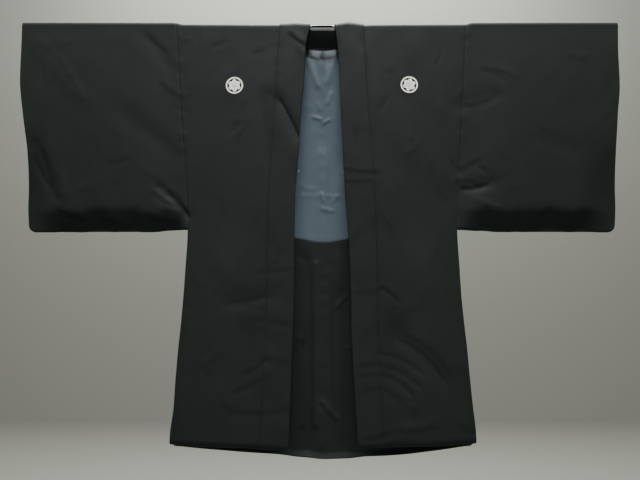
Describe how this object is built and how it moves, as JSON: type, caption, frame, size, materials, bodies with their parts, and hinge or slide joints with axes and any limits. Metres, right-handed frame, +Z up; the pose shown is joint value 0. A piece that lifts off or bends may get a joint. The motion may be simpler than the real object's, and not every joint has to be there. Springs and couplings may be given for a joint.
{
  "type": "haori jacket on a kimono hanger",
  "caption": "Man's lined black haori with roundel crests, hung open at the front on a straight kimono hanger by a short wire hook.",
  "frame": {"origin": "The point inside the top of the hanger's hook that bears on a rail. The rod's axis runs along X, 47 mm in front of it and 22.6 mm below it.", "axes": "+Z up; the front faces -Y; +X is the wearer's left, which is on the viewer's right seen from the front."},
  "size_m": [1.3373, 0.086, 0.9711],
  "materials": {
    "black_silk": "matt plain-woven black silk with a faint green-grey cast",
    "blue_lining": "smooth blue-grey lining silk with a soft sheen",
    "rod_aluminium": "satin anodised tube",
    "block_plastic": "moulded black plastic with a high gloss",
    "hook_steel": "black painted wire"
  },
  "bodies": {
    "root": {"body_left": "black_silk", "body_right": "black_silk", "sleeve_left": "black_silk", "sleeve_right": "black_silk", "gusset_left": "black_silk", "gusset_right": "black_silk", "collar": "black_silk", "facing_left": "black_silk", "facing_right": "black_silk", "loop_left": "black_silk", "loop_right": "black_silk", "lining_left": "blue_lining", "lining_right": "blue_lining", "hanger_rod": "rod_aluminium", "hanger_block": "block_plastic", "hanger_hook": "hook_steel"}
  },
  "joints": []
}
